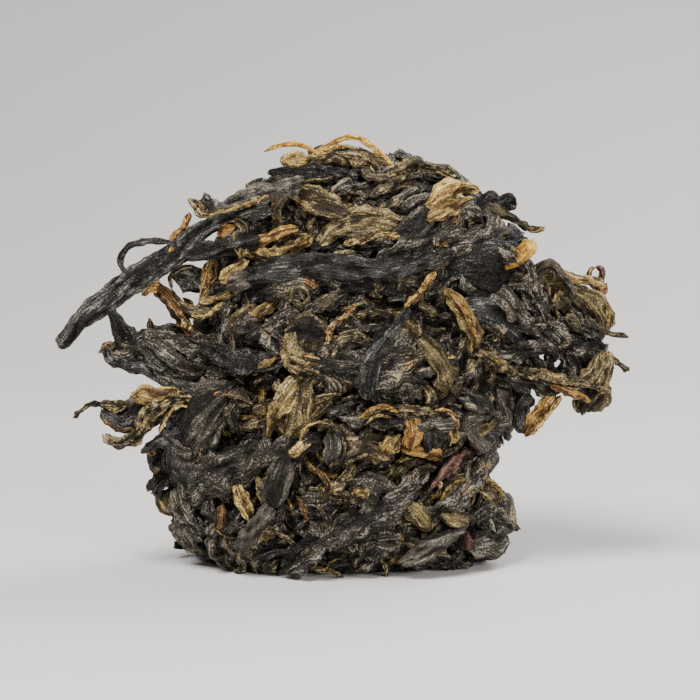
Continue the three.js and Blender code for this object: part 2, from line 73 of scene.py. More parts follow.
# Strips that stand free. Each has its look, width, thickness over width, how far its ends lie before the
# middle plane, the end that springs from the mass, and its route: the x,y of each pixel that it passes.
freeStrips = {
    "rightMass": ("dark", 6.6, 0.75, (3, 2), "start", "500,298 545,310 598,324"),
    "rightMassLow": ("dark", 4.6, 0.6, (4, 2.5), "", "566,345 586,368 592,398"),
    "leftMass": ("dark", (6, 5.4, 3.4), 0.6, (5, 3.5), "start", "205,352 165,353 132,352"),
    "leftMassLow": ("dark", 4, 0.6, (5.5, 4), "start", "195,402 165,408 128,410"),
    "longStalk": ("smooth", (3, 2.8, 2.7, 2.8, 2.7, 2.6, 2.4), 0.75, (7, 7.6), "end",
        "60,347 70,334 84,317 106,301 138,276 172,256 198,233 224,218 256,210"),
    "hookTendril": ("smooth", 0.9, 0.9, (7.6, 7.8), "", "140,272 124,271 120,259 128,247 147,241 186,246"),
    "orangeTwig": ("amber", 0.8, 0.8, (6.8, 7.9), "", "190,213 183,226 172,238 170,252"),
    "gnarledLeaf": ("grey", (1.6, 2, 2, 2.1, 2), 0.75, (9.4, 9.8), "end",
        "203,212 218,208 240,200 262,193 286,187"),
    "gnarledTan": ("gold", (0.4, 0.6, 0.5), 0.9, (10.6, 10.8), "", "208,215 226,211 250,203 268,195"),
    "gnarledKnob": ("brown", (1, 1.4, 1.4), 0.9, (9.2, 9.6), "", "190,200 196,203 203,210 212,210"),
    "gnarledEar": ("dark", (1.3, 1.5, 1.4), 0.9, (9.4, 9.8), "", "204,197 207,204 216,208"),
    "crestTip": ("yellow", (0.4, 0.7, 0.8, 0.8), 0.8, (4, 4.6), "end",
        "263,152 276,146 292,144 305,147 316,153"),
    "crestArch": ("yellow", 0.75, 0.9, (4.6, 4.4), "end",
        "314,154 322,149 334,142 349,137 363,140 376,150 386,160 392,168"),
    "crestTwin": ("amber", 0.6, 0.9, (5, 4.8), "", "312,156 326,151 340,146 352,146"),
    "paleCrestBud": ("pale", (1.4, 1.9, 1.5), 0.7, (5, 4.4), "", "282,162 297,160 314,161"),
    "crestOlive": ("tan", 1.8, 0.7, (4.6, 4), "end", "306,164 322,160 340,160"),
    "darkCrestLeaf": ("black", (0.6, 2.3, 2.6, 2.2, 1.4), 0.5, (5.8, 5), "end",
        "270,173 284,172 302,171 320,172 340,176"),
    "crestLine": ("tan", (0.4, 0.6, 0.5), 0.8, (6.8, 6.2), "", "274,177 292,182 312,181 332,177"),
    "crestFold": ("brown", (1.4, 2.4, 2, 1.6), 0.6, (4.6, 4), "", "338,153 354,152 370,160 379,174 392,180"),
    "knobStick": ("brown", (1.5, 1.3, 1.4, 1.1), 0.8, (5, 4), "start",
        "386,176 402,168 416,163 428,167 442,169 455,174"),
    "knobHead": ("brown", (1.2, 1.4, 1.2), 0.9, (4.8, 4.6), "", "406,166 414,161 423,165"),
    "knobTurn": ("dark", 1.3, 0.9, (2.4, 3), "", "452,171 454,179 448,184"),
    "crestTwist": ("dark", (1, 1.8, 2), 0.7, (5, 4), "", "373,195 382,182 396,172 414,168"),
    "paleBudUpper": ("pale", (1, 2, 2.4, 1.6, 0.8), 0.6, (8.6, 6), "",
        "426,205 438,196 452,190 468,188 480,191"),
    "paleBudLower": ("pale", (1.2, 2, 1.7, 0.8), 0.6, (9, 6.8), "", "426,221 442,214 457,206 472,198"),
    "rightKnurl": ("black", 2, 0.8, (5, 3), "start", "468,210 486,205 504,204 513,207"),
    "rightKnurlTop": ("black", 1.5, 0.9, (4.6, 3), "", "482,200 492,196 500,202 511,198 514,206"),
    "rightStick": ("brown", (2, 1.8, 1.6, 1.2, 0.9), 0.8, (5, 3), "start",
        "490,211 506,214 520,222 530,228 543,228"),
    "stickTip": ("gold", (1, 1.1, 0.8), 0.9, (3.6, 3.4), "", "528,229 536,231 543,228"),
    "yellowRoll": ("yellow", (2.2, 2.7, 2.6), 0.95, (8.4, 9), "start", "518,258 524,251 531,240"),
    "armRight": ("brown", (1.3, 1.7, 1.7, 1.5, 1.2, 0.9, 0.7), 0.85, (8, 5), "start",
        "535,284 540,269 549,264 562,275 576,298 590,319 606,332 628,337"),
    "edgeStrandInner": ("dark", 1.7, 0.8, (9, 6), "start", "508,248 524,264 532,286 545,312 562,331"),
    "edgeRim": ("gold", 0.6, 0.8, (9.6, 7), "", "512,247 526,262 533,280 537,300"),
    "stubRight": ("gold", (1.3, 1.4, 1.5), 0.9, (5, 4.4), "start", "560,275 585,281 606,287"),
    "stubEnd": ("rust", 1.5, 0.9, (4.5, 4.3), "", "600,286 608,290"),
    "claw": ("rust", 0.8, 0.9, (3.6, 3.6), "", "597,286 591,279 591,270 595,267"),
    "clawPair": ("red", 0.8, 0.9, (3.4, 3.4), "", "598,286 602,278 602,270 598,267"),
    "petalRight": ("tan", 2.9, 0.5, (4.5, 3.6), "start", "572,290 592,302 603,316 606,331"),
    "petalRim": ("gold", 0.6, 0.8, (5, 4.4), "", "592,297 605,304 609,318 606,332"),
    "rightBand": ("dark", 2.6, 0.6, (9, 3.5), "start", "505,350 540,348 575,345 606,343"),
    "rightWeave": ("dark", 2.6, 0.6, (8, 2.5), "start", "520,322 548,330 572,322 594,336"),
    "fanRibUpper": ("tan", 1.5, 0.6, (5.6, 5.4), "", "608,352 606,370 600,392"),
    "fanRibMiddle": ("tan", 1.5, 0.6, (6, 5.6), "", "606,352 601,368 590,386"),
    "fanRibLower": ("tan", 1.6, 0.6, (5.8, 5.4), "", "603,354 594,368 581,380"),
    "thinStick": ("brown", 0.8, 0.9, (3, 3), "", "598,350 608,356 618,362 628,371"),
    "brownTwig": ("brown", (1.2, 1.2, 1), 0.9, (8.4, 5), "start", "530,372 556,378 584,384 611,392"),
    "paleTip": ("amber", (0.9, 1.1, 0.8), 0.7, (7.6, 6.6), "", "552,386 568,391 580,396 590,402"),
    "underFlap": ("brown", 2.7, 0.45, (3, 2), "", "600,382 598,396 587,410"),
    "smallHook": ("brown", 1, 0.8, (2.4, 2), "", "590,396 578,402 580,412"),
    "flapFace": ("amber", (2.4, 3, 2.2), 0.5, (5.6, 5), "", "554,396 543,410 532,424 528,434"),
    "flapRim": ("pale", 0.9, 0.5, (6.2, 5.6), "", "561,396 551,410 541,422 531,434"),
    "flapDark": ("smooth", 2.6, 0.5, (5, 4.6), "", "528,393 522,412 525,433"),
    "smallBall": ("smooth", 1.6, 0.9, (3, 2), "start", "497,420 504,430 509,440"),
    "leftSpike": ("smooth", (0.5, 2.2, 4), 0.3, (4.6, 4.8), "", "112,303 115,316 122,330 134,342"),
    "leftEar": ("dark", (2.2, 3.4, 3.6, 3.4), 0.4, (4.6, 7), "end",
        "110,350 130,346 150,342 176,344 215,350"),
    "leftEarLow": ("smooth", (1.2, 1.8, 1.8, 2), 0.6, (5.6, 7), "end",
        "107,346 109,360 124,366 142,369 160,380 200,392"),
    "leftEarTip": ("dark", (0.5, 2, 2.6), 0.4, (5.6, 5.2), "", "178,325 164,330 146,334 130,338"),
    "leftEarPeak": ("brown", (0.5, 1.4), 0.4, (5.4, 5.4), "", "149,320 151,328 152,334"),
    "leftEarPale": ("tan", (0.5, 1, 0.9), 0.8, (5.2, 5.4), "", "98,353 105,347 114,344"),
    "leftEarMass": ("dark", (3, 4.4, 4.6), 0.7, (4, 5.6), "end", "126,340 152,350 186,366"),
    "fingerUpper": ("brown", (0.9, 1.3, 1.3, 1.2), 0.8, (4.4, 7), "end",
        "73,417 82,409 92,404 108,405 124,404 142,400 160,398"),
    "leftFlap": ("black", (2.6, 3.8, 3.6, 2.6), 0.7, (5, 6.4), "end",
        "104,411 114,417 128,418 142,410 156,400"),
    "flapEdge": ("rust", 0.5, 0.8, (6.4, 7.4), "", "103,419 110,426 120,431 132,428"),
    "fingerLower": ("brown", (1.3, 1.8, 2, 1.9), 0.85, (6.4, 8), "end",
        "106,436 116,442 129,440 139,430 147,417 160,404"),
    "goldTuft": ("pale", (1.2, 2.2, 2.4, 2.2), 0.7, (7.8, 8.4), "", "134,397 146,394 158,397 176,391"),
    "goldSliver": ("pale", 0.7, 0.6, (7.6, 8.4), "end", "159,432 164,421 171,412"),
    "darkBulb": ("smooth", (1.4, 3, 3), 0.9, (5.4, 6.6), "end", "146,450 156,444 168,440"),
    "bulbTwin": ("dark", (2, 2.6), 0.9, (7, 7.4), "end", "164,430 172,440 180,450"),
    "bulbTip": ("rust", 0.8, 0.8, (5.2, 5.6), "", "141,453 147,450 154,454"),
    "goldStub": ("rust", (1.2, 1.6, 1.9, 1.8), 0.9, (5, 6.4), "", "146,290 154,287 164,295 176,311 193,337"),
    "stubCut": ("gold", (1, 1.5), 0.9, (7.4, 7.6), "", "182,320 187,328"),
    "goldStubEnd": ("amber", (1.2, 1.6), 0.9, (5, 5.2), "", "142,293 150,286 160,287"),
    "ovalLeaf": ("smooth", (2.6, 4.2, 3), 0.3, (5, 6.4), "", "174,276 187,280 202,288"),
    "ovalRim": ("brown", 0.6, 0.9, (5.4, 5.8), "", "172,288 171,276 180,268 194,267 204,273"),
    "ovalStem": ("brown", (1, 1.6), 0.9, (5, 6.4), "end", "172,290 178,302 190,312"),
    "blackTube": ("smooth", (2.2, 2.5, 2.4), 0.95, (7.6, 8.4), "end", "184,252 200,251 222,247 250,240"),
    "tubeEnd": ("brown", 1.6, 1, (6.8, 7), "", "184,248 186,256"),
    "ribbedKnot": ("brown", (1.4, 2.1, 1.8, 1.2), 0.85, (8.8, 9.2), "", "234,222 244,228 245,242 241,257"),
    "knotRim": ("gold", 0.5, 0.8, (9.6, 9.6), "", "236,232 235,246 241,257"),
    "ochreCurl": ("rust", (2, 1.9, 1.6, 1.2), 0.7, (6, 8), "", "213,259 210,272 206,286 201,299"),
    "ochreFoot": ("gold", (1, 1.1, 0.9), 0.7, (8.2, 8.6), "end", "200,299 210,301 228,294"),
    "tanHook": ("brown", (1, 1.6, 1.2), 0.6, (7.6, 8.4), "", "180,304 190,311 202,314 222,303"),
    "tanHookRim": ("gold", (0.5, 0.7, 0.5), 0.8, (8.4, 9), "", "190,314 203,317 214,311 222,303"),
    "rolledEnd": ("gold", (1.8, 1.9, 1.3), 0.8, (9, 9.4), "", "223,279 232,273 245,262"),
    "edgeStrandOuter": ("brown", 1.2, 0.7, (7, 5), "", "526,262 541,278 550,302 562,326"),
    "rightHook": ("dark", 1.6, 0.8, (5.5, 5.2), "", "562,350 552,358 550,369 557,380"),
    "leftKnot": ("gold", 1, 0.9, (4.5, 5), "", "184,298 190,303 188,312"),
    "leftFleck": ("amber", (1, 1.4, 0.8), 0.6, (8.2, 8.6), "", "218,238 226,232 235,226"),
    "armMass": ("dark", 2.4, 0.7, (7.2, 5.6), "start", "508,372 532,377 556,384 576,387"),
    "gapLeft": ("dark", 2.2, 0.6, (7, 6), "start", "516,350 530,360 540,374"),
    "rightLeafUpper": ("dark", 2.4, 0.6, (8.6, 6), "start", "526,284 538,306 550,328 566,344"),
    "rightLeafLower": ("dark", 2.8, 0.6, (9, 6), "start", "504,300 522,318 540,334 558,350"),
    "rightChunk": ("brown", 2, 0.6, (6, 5.4), "", "558,294 565,303 573,314"),
    "rightKnots": ("dark", 1.8, 0.8, (6, 4.6), "", "570,312 578,322 592,336"),
    "rightKnotGold": ("brown", 1.1, 0.7, (6.8, 6.4), "", "568,316 574,322 578,330"),
    "leftEarFold": ("smooth", (1.6, 2.6, 3), 0.5, (5.8, 7), "", "136,340 152,352 170,366"),
    "budEdge": ("amber", (0.4, 0.6, 0.4), 0.8, (9.8, 7.4), "", "430,203 446,191 464,184 478,187"),
}

# Strips that lie pressed on the front: look, width, thickness over width, lift over the mass, and route.
pressedStrips = {
    "goldStrandUpper": ("amber", (0.9, 1.4, 1.5, 1.2), 0.8, 2.2, "250,249 263,241 279,233 297,228"),
    "goldStrandLower": ("gold", (1, 1.9, 2.2, 1.6), 0.8, 2.2, "246,250 262,255 280,253 296,245 312,237"),
    "fanLeaf": ("tan", (1.8, 2.8, 3.2, 2.6), 0.6, 1.8, "284,187 298,188 316,195 334,206 350,212"),
    "fanTip": ("amber", (0.8, 1.2, 1.4), 0.8, 2.4, "282,194 286,187 296,186"),
    "fanBranch": ("brown", (1.6, 2, 1.2), 0.7, 1.6, "290,190 282,204 274,222"),
    "ridgedBand": ("tan", (2.4, 3.2, 3.4, 3, 2.2), 0.6, 1.4, "322,241 336,228 356,220 382,221 404,230"),
    "saddleLeaf": ("grey", (3.4, 4.4, 3.6), 0.45, 1.3, "398,250 410,236 424,222 432,208"),
    "longDarkLeaf": ("smooth", (2.2, 2.7, 3, 2.8, 2.6, 1.8), 0.75, 2.2,
        "218,286 240,279 268,270 300,266 345,267 385,268 420,262 452,252"),
    "rightLongLeaf": ("dark", 3, 0.6, 1, "440,246 465,240 492,242 522,237"),
    "shoulderLeaf": ("black", (4, 6.6, 6.2, 4), 0.3, 1, "450,266 480,266 504,280 524,306"),
    "bellyLeaf": ("smooth", (3.6, 5.2, 5), 0.4, 0.9, "462,304 488,306 508,320 532,338"),
    "goldBendUpper": ("gold", (1.2, 1.8, 2.2, 1.8), 0.7, 2.2, "445,290 457,303 467,322 474,342 473,353"),
    "goldBendLower": ("brown", (1.4, 1.5, 1.4, 1.2), 0.8, 2.3, "470,347 484,354 498,362 514,371 530,378"),
    "curvedRim": ("smooth", (1, 1.7, 2.2, 2.6, 2.8, 2.4), 0.6, 3,
        "408,309 400,321 388,340 375,356 369,376 369,398"),
    "curvedBody": ("dark", (3, 6, 6.4, 5), 0.3, 0.6, "424,312 412,340 398,368 390,398"),
    "stripedLeaf": ("tan", (1.4, 3, 3.8, 4.2), 0.4, 1.4, "414,336 430,348 443,368 452,392"),
    "greyCord": ("dark", 2, 0.8, 1, "235,296 227,318 219,350"),
    "diagonalCord": ("dark", 2, 0.7, 1.4, "262,330 288,316 318,304 346,296"),
    "columnUpper": ("tan", (4.6, 5, 4.4), 0.5, 1, "312,320 306,344 298,368"),
    "columnKnot": ("brown", (2.4, 3.6, 2.6), 0.6, 1.9, "290,332 306,330 324,336"),
    "columnBelt": ("tan", (1.2, 1.5, 1.1), 0.7, 2.2, "286,352 300,358 324,362"),
    "columnBeltLow": ("brown", (1.4, 2.2, 1.6), 0.6, 1.9, "284,364 300,368 318,374"),
    "columnLower": ("tan", (3, 5.2, 5.6, 5), 0.5, 1.2, "306,376 294,392 286,410 284,434"),
    "columnGold": ("gold", (1, 2, 2.2, 1.2), 0.5, 2.2, "302,384 290,398 276,414 268,434"),
    "darkShelf": ("black", 3.9, 0.5, 0.8, "212,348 238,358 262,362 286,356"),
    "flatSlab": ("grey", (4, 8.4, 9.6, 6.6), 0.14, 1.9, "232,394 214,416 196,446 178,474"),
    "broadDiagonal": ("dark", (3, 5, 5.4, 4), 0.3, 1.9, "258,440 230,458 200,472 168,488"),
    "heelLobe": ("dark", (3, 4.4, 3.4), 0.5, 1, "190,500 188,522 196,546"),
    "greyPlate": ("grey", (2.8, 3.6, 3.2), 0.5, 2.8, "284,456 278,480 272,504"),
    "greyTail": ("grey", (2.8, 2.4, 2.6), 0.6, 2.2, "272,506 256,526 238,550"),
    "ovalRim": ("brown", 0.7, 0.8, 1.5, "318,430 328,424 340,430 346,446 341,462 330,472"),
    "lowKnot": ("dark", 4.4, 0.6, 0.4, "342,504 362,492 386,500"),
    "goldRim": ("brown", (0.9, 1.4, 1.5, 1), 0.7, 1.5, "360,418 376,411 400,410 426,413 444,420"),
    "ringLeaf": ("gold", 3, 0.6, 0.9, "452,494 478,486 500,495"),
    "footLump": ("dark", 5.1, 0.7, 0.5, "476,524 496,517 512,528"),
    "greyRoll": ("grey", (2.2, 3, 3, 2.2), 0.8, 1.7, "400,564 424,552 444,540 464,528"),
    "waistLobe": ("grey", 3.3, 0.7, 0.5, "496,390 502,408 496,430"),
    "waistBall": ("grey", 3.3, 0.8, 0.5, "480,446 488,460 482,474"),
    "slantDark": ("dark", 3.1, 0.6, 0.9, "384,512 404,487 424,466"),
    "tanCurl": ("brown", 1.5, 0.6, 1, "362,166 372,176 388,176 402,168"),
    "oliveEdge": ("brown", 1.3, 0.7, 1, "372,196 392,186 408,176 418,173"),
    "topDark": ("dark", 2, 0.7, 0.9, "318,196 338,188 352,184"),
    "underGold": ("brown", 2, 0.7, 0.9, "345,240 365,236 390,232"),
    "greyUpper": ("dark", 2, 0.7, 0.9, "388,212 404,200 420,192"),
    "rightDarkFold": ("dark", 2.2, 0.7, 1, "450,224 468,213 486,222 502,236"),
    "orangeEdge": ("rust", 1.2, 0.7, 1, "281,188 277,204 276,218 282,230"),
    # A black strip in the shadow under the long dark leaf: painted shadow.
    "shadowBandUnder": ("black", 2.6, 0.6, 0.4, "285,293 320,287 360,284 400,290"),
    "goldFleck": ("amber", 1.1, 0.6, 1.9, "434,272 424,286 405,307"),
    "orangeSliver": ("rust", 0.7, 0.6, 1.7, "355,307 342,318 330,330 328,345"),
    "rosette": ("tan", 0.6, 0.8, 2.8, "292,301 290,292 297,287 307,290 308,301 300,306 292,302"),
    "rosetteHeart": ("brown", (2, 2.3, 2), 0.5, 2.3, "294,292 299,297 303,302"),
    "rosetteTop": ("rust", 1.2, 0.7, 2.2, "294,285 306,282 316,286"),
    "paleTwist": ("gold", 1.5, 0.6, 1.2, "249,326 262,312 276,302"),
    "tanDiagonal": ("brown", 1.5, 0.7, 1.3, "266,336 292,320 318,306 340,292"),
    "brownChip": ("brown", 1.6, 0.6, 1, "336,340 352,337 370,341"),
    "columnSide": ("brown", 2.6, 0.6, 0.7, "352,330 344,352 330,372 318,384"),
    "shelfEdge": ("gold", 0.9, 0.7, 1.2, "252,374 268,362 286,350"),
    "leftMiddle": ("dark", 2.6, 0.6, 1, "200,388 222,374 250,366"),
    "paleVein": ("brown", (0.4, 0.6, 0.5, 0.3), 0.9, 3.1, "234,404 218,426 202,450 192,468"),
    "lowLeft": ("dark", 2.6, 0.6, 0.9, "258,466 230,476 198,488"),
    "lowTuft": ("gold", (1.2, 2, 1.8, 1.2), 0.6, 1.8, "232,474 240,492 248,508 256,526"),
    "lowCup": ("brown", 1.4, 0.7, 1, "212,502 218,490 228,485 238,490"),
    "amberFlake": ("rust", (1, 1.6, 1.6), 0.4, 1.6, "222,506 221,518 219,528"),
    "ovalInner": ("grey", 2.8, 0.5, 1.2, "332,432 335,446 331,462"),
    "lowLump": ("tan", 3.8, 0.5, 0.5, "354,454 372,446 390,456"),
    "knotCentre": ("gold", (0.8, 1.2, 0.8), 0.7, 1.9, "354,496 362,492 370,497"),
    "orangePatch": ("amber", (1.8, 3, 2.2), 0.4, 1.7, "406,417 413,430 411,444"),
    "greyChip": ("smooth", (1.6, 2.2, 1.8), 0.7, 1.8, "432,420 429,436 431,452"),
    "redStrip": ("red", (1.8, 2.2, 1.4, 0.8), 0.25, 1.8, "472,450 454,464 438,480 424,494"),
    "redFlake": ("red", (1.4, 1.8), 0.25, 1.8, "464,530 467,540 470,548"),
    "bottomSlant": ("dark", 3, 0.6, 1, "300,560 320,540 345,520"),
    "bottomMiddle": ("dark", 3, 0.6, 0.9, "350,566 372,548 400,540"),
    "bottomArch": ("dark", 2.6, 0.6, 0.9, "290,508 312,500 330,506"),
    "slabRim": ("rust", (0.4, 0.6, 0.7), 0.9, 2.9, "184,428 192,412 206,398 222,393 238,398"),
    "slabBud": ("brown", (1.6, 2, 1.2), 0.7, 2, "222,392 236,394 250,402"),
    "tanChip": ("gold", 1.3, 0.6, 1.8, "286,457 298,449 309,440"),
    "lowTwig": ("brown", 0.9, 0.8, 1.5, "320,504 326,520 329,540"),
    "oliveChip": ("gold", (1.6, 2.2, 1.2), 0.5, 1.7, "384,452 393,444 402,436"),
    "clusterLoop": ("amber", 0.6, 0.7, 2.4, "434,411 446,410 455,418 457,430 452,440"),
    "clusterLoopInner": ("pale", 0.5, 0.7, 2.2, "445,424 451,434 450,446"),
    "rimArc": ("amber", 0.6, 0.7, 2.6, "361,417 371,409 386,407 398,412"),
    "rimArcLow": ("gold", 0.5, 0.7, 2.4, "366,423 378,415 391,417"),
    "kneeCurl": ("gold", 0.6, 0.7, 2.5, "441,501 449,488 463,481 474,489 472,504"),
    "ringCurl": ("gold", 0.7, 0.7, 2, "482,490 492,485 500,491 499,501 489,505"),
    "ovalArc": ("gold", 0.5, 0.7, 2.4, "300,440 306,428 318,422 332,424"),
    "leftFold": ("dark", (2, 3, 2.4), 0.5, 1.2, "226,344 244,334 264,322"),
    "leftFoldTan": ("tan", (1, 1.8, 1.2), 0.6, 1.6, "228,330 240,318 254,304"),
    "orangeLow": ("amber", (1.4, 2, 1.4), 0.4, 1.4, "402,448 420,452 440,458"),
    "kneeBrown": ("tan", (1.6, 2.6, 2.2), 0.6, 1.4, "444,500 456,488 474,482"),
    "leftEdgeUpper": ("dark", (2.4, 3.4, 2.8), 0.5, 1.2, "176,436 166,452 158,476"),
    "leftEdgeLower": ("dark", (2, 2.6, 2.4), 0.5, 1.4, "172,470 160,482 152,490"),
    "leftEdgeGold": ("gold", (1.2, 1.8, 1.2), 0.5, 1.2, "156,494 168,508 178,514"),
    "ridgedEdge": ("gold", (0.7, 1, 0.8), 0.8, 2.2, "344,244 362,240 384,234 402,236"),
    "ridgedUnder": ("dark", (1.8, 2.4, 2), 0.6, 1.2, "350,250 374,246 398,244"),
    "oliveUpper": ("brown", (1, 1.4, 1), 0.7, 1.6, "376,212 390,205 404,199"),
    "paleLadder": ("pale", (1, 1.6, 1), 0.6, 1.9, "449,420 452,430 456,442"),
    "orangeSpot": ("amber", (0.8, 1.1), 0.6, 1.8, "471,444 480,446"),
    "oliveBand": ("tan", (1, 1.4, 0.9), 0.6, 1.5, "466,436 482,430 496,420"),
    "waistGrey": ("grey", (3, 3.6, 3), 0.5, 1.2, "462,396 478,404 492,416"),
    "waistGreyLow": ("grey", (2.4, 3, 2.4), 0.6, 1.1, "466,424 478,436 484,452"),
    "footTanLeft": ("tan", (1.6, 2.6, 2), 0.6, 1.4, "404,500 418,512 428,526"),
    "footTanRight": ("tan", (1.8, 2.4, 1.8), 0.6, 1.4, "436,510 450,519 466,520"),
    "footGrey": ("grey", (2.4, 3.4, 2.6), 0.6, 1.2, "480,512 494,514 508,524"),
    "longLeafEnd": ("grey", (1.4, 2.4, 2.2), 0.6, 2.9, "222,289 238,282 256,276"),
    "middleShelf": ("dark", (3, 4.4, 3.4), 0.5, 0.9, "384,398 404,388 428,392"),
    "goldBendStrand": ("amber", (0.5, 0.7, 0.6), 0.7, 3.4, "448,291 461,304 471,321 477,340"),
    "goldBendStrandLow": ("gold", (0.5, 0.6, 0.5), 0.7, 3.1, "478,350 492,357 506,366"),
    "lowRustFold": ("rust", (0.6, 1.2, 0.8), 0.6, 1.8, "318,470 326,484 322,498"),
    "lowRustSliver": ("rust", (0.6, 0.9, 0.6), 0.6, 2, "296,496 304,508 306,522"),
    "lowTanEdge": ("tan", (0.6, 1.2, 0.8), 0.6, 2, "256,478 262,490 264,506"),
    "kneeGold": ("gold", (0.7, 1.2, 0.8), 0.6, 2.2, "478,470 488,480 498,484"),
    "slabTan": ("tan", (0.7, 1.2, 0.8), 0.6, 2.4, "160,492 170,504 176,518"),
}

# The strips laid by rule, which follow the same draws as the solid's.
scattered = {
    "count": 28, "seed": 11, "shortest": 10, "longest": 18, "narrowest": 2.6, "widest": 4.6,
    "flattest": 0.5, "roundest": 0.8, "lift": 0.7, "slant": 1.1, "sway": 0.35, "lowest": 0.07,
    "highest": 0.93, "sides": 22, "step": 0.45,
}

# The smaller leaves that fill the rest: how many, their sizes, how high their middles and ends lie, how far
# they sink near the crest, how finely they are made, where they start and how far they go in half turns, and
# the share that is gold or, up to the second number, brown.
fillers = {
    "front": {"count": 340, "seed": 5, "length": (4, 9), "width": (1.8, 3.8), "flat": (0.4, 0.7),
              "lift": (-2.0, -0.6), "ends": (-0.7, -0.7), "sink": 0, "sides": 18, "step": 0.4,
              "turns": (-1, 1), "golden": (0.03, 0.18)},
    "back": {"count": 260, "seed": 6, "length": (5, 13), "width": (2, 4.2), "flat": (0.4, 0.7),
             "lift": (-0.4, 0.7), "ends": (-0.9, -0.9), "sink": 0.18, "sides": 14, "step": 0.85,
             "turns": (0, 1), "golden": (0.08, 0.2)},
    "flakes": {"count": 360, "seed": 8, "length": (1.4, 4.2), "width": (0.6, 1.8), "flat": (0.2, 0.45),
               "lift": (0, 1.2), "ends": (-0.9, -0.9), "sink": 0.1, "sides": 14, "step": 0.3,
               "turns": (-1.1, 1.2), "golden": (0.08, 0.4)},
    "loose": {"count": 70, "seed": 9, "length": (4, 9), "width": (0.7, 2), "flat": (0.5, 0.8),
              "lift": (0.2, 0.9), "ends": (-1.4, 1.8), "sink": 0.1, "sides": 14, "step": 0.45,
              "turns": (-0.05, 1.1), "golden": (0.08, 0.2)},
}

# How a leaf is modelled. ringStep, sideStep and dents are in mm. Each waves is how often a form comes, round
# and along. The rest are shares of the leaf's own size.
leafShape = {
    "ringStep": 0.26,
    "sideStep": 0.2,
    "dents": 0.55,
    "foldWaves": (0.95, 0.45),
    "wrinkleWaves": (2.9, 1.7),
    "crumpleWaves": (1.6, 2.9),
    "folds": 0.42,
    "wrinkles": 0.3,
    "crumple": 0.34,
    "lip": 0.34,
    "gnarl": 0.2,
    "bow": 0.16,
    "uneven": 0.22,
    "endSize": 0.8,
    "ragged": 1.3,
}
# How rugged a kind of leaf is, where it isn't 1.
ruggedness = {
    "brown": 0.85, "smooth": 0.4, "black": 0.6, "rust": 0.7, "grey": 0.5, "tan": 0.7, "gold": 0.8,
    "pale": 0.6, "amber": 0.7, "yellow": 0.5,
}
seeds = {"free": 100, "pressed": 300, "scattered": 500}  # of each first leaf, rising by one
undersideShade = 0.9  # painted shade: how dark the underside of a leaf is that lies on the mass
endDip = 0.7  # by which the ends of a pressed strip lie lower
goldenShare = 0.618034  # of a turn, between one small leaf and the next


rng = np.random.default_rng(7)
lattice = rng.random((64, 64, 64)) * 2 - 1


# Smooth noise between -1 and 1 at an array of points.
def noiseAt(points):
    low = np.floor(points).astype(int)
    part = points - low
    part = part * part * (3 - 2 * part)
    total = np.zeros(points.shape[:-1])
    for dx in (0, 1):
        for dy in (0, 1):
            for dz in (0, 1):
                corner = lattice[(low[..., 0] + dx) % 64, (low[..., 1] + dy) % 64, (low[..., 2] + dz) % 64]
                weight = np.where(dx, part[..., 0], 1 - part[..., 0])
                weight = weight * np.where(dy, part[..., 1], 1 - part[..., 1])
                weight = weight * np.where(dz, part[..., 2], 1 - part[..., 2])
                total += corner * weight
    return total


# Sharp crests with round valleys, from 0 to 1.
def ridgesAt(points):
    return 1 - np.abs(noiseAt(points)) * 1.6


def unit(vectors):
    return vectors / np.maximum(np.linalg.norm(vectors, axis=-1, keepdims=True), 1e-9)


coreHeight = core["stations"][-1][0]
stationTable = np.array(core["stations"], float)


# The outline of the mass at given heights: left, right, front, back.
def levelAt(height):
    return [np.interp(height, stationTable[:, 0], stationTable[:, i]) for i in range(1, 5)]


def signedPower(value, power):
    return np.sign(value) * np.abs(value) ** power


def corePoint(angle, height):
    angle, height = np.broadcast_arrays(np.asarray(angle, float), np.asarray(height, float))
    left, right, front, back = levelAt(height)
    swell = 1 + core["lumps"] * (
        0.6 * np.sin(3 * angle + 0.21 * height) + 0.4 * np.sin(7 * angle - 0.43 * height))
    across = signedPower(np.cos(angle), 2 / core["squareness"]) * swell
    away = signedPower(np.sin(angle), 2 / core["squareness"]) * swell
    depth = np.where(away < 0, front, back)
    return np.stack([(left + right) / 2 + across * (right - left) / 2, away * depth, height], -1)


def coreNormal(angle, height):
    tiny = 0.01
    turn = corePoint(angle + tiny, height) - corePoint(angle - tiny, height)
    rise = corePoint(angle, height + tiny) - corePoint(angle, height - tiny)
    return unit(np.cross(turn, rise))


def frontOf(x, height):
    left, right, front, _ = levelAt(height)
    across = np.abs((x - (left + right) / 2) / ((right - left) / 2))
    share = max(0.0, 1 - float(across) ** core["squareness"])
    return float(front) * share ** (1 / core["squareness"])


elevation = math.radians(photo["elevation"])
lookAlong = np.array([0, math.cos(elevation), -math.sin(elevation)])
lookUp = np.array([0, math.sin(elevation), math.cos(elevation)])
lensPlace = np.array(photo["aim"]) - lookAlong * photo["distance"]


# Where the sight line of a pixel is `near` mm before the middle plane.
def fromPhoto(pixel, near):
    step = photo["pixelSize"] / photo["distance"]
    sight = lookAlong + lookUp * (photo["middle"] - pixel[1]) * step
    sight[0] += (pixel[0] - photo["middle"]) * step
    return lensPlace + sight * (-near - lensPlace[1]) / sight[1]


def onFront(pixel, lift):
    point = fromPhoto(pixel, 11)
    for _ in range(3):
        point = fromPhoto(pixel, frontOf(point[0], point[2]) + lift)
    return point


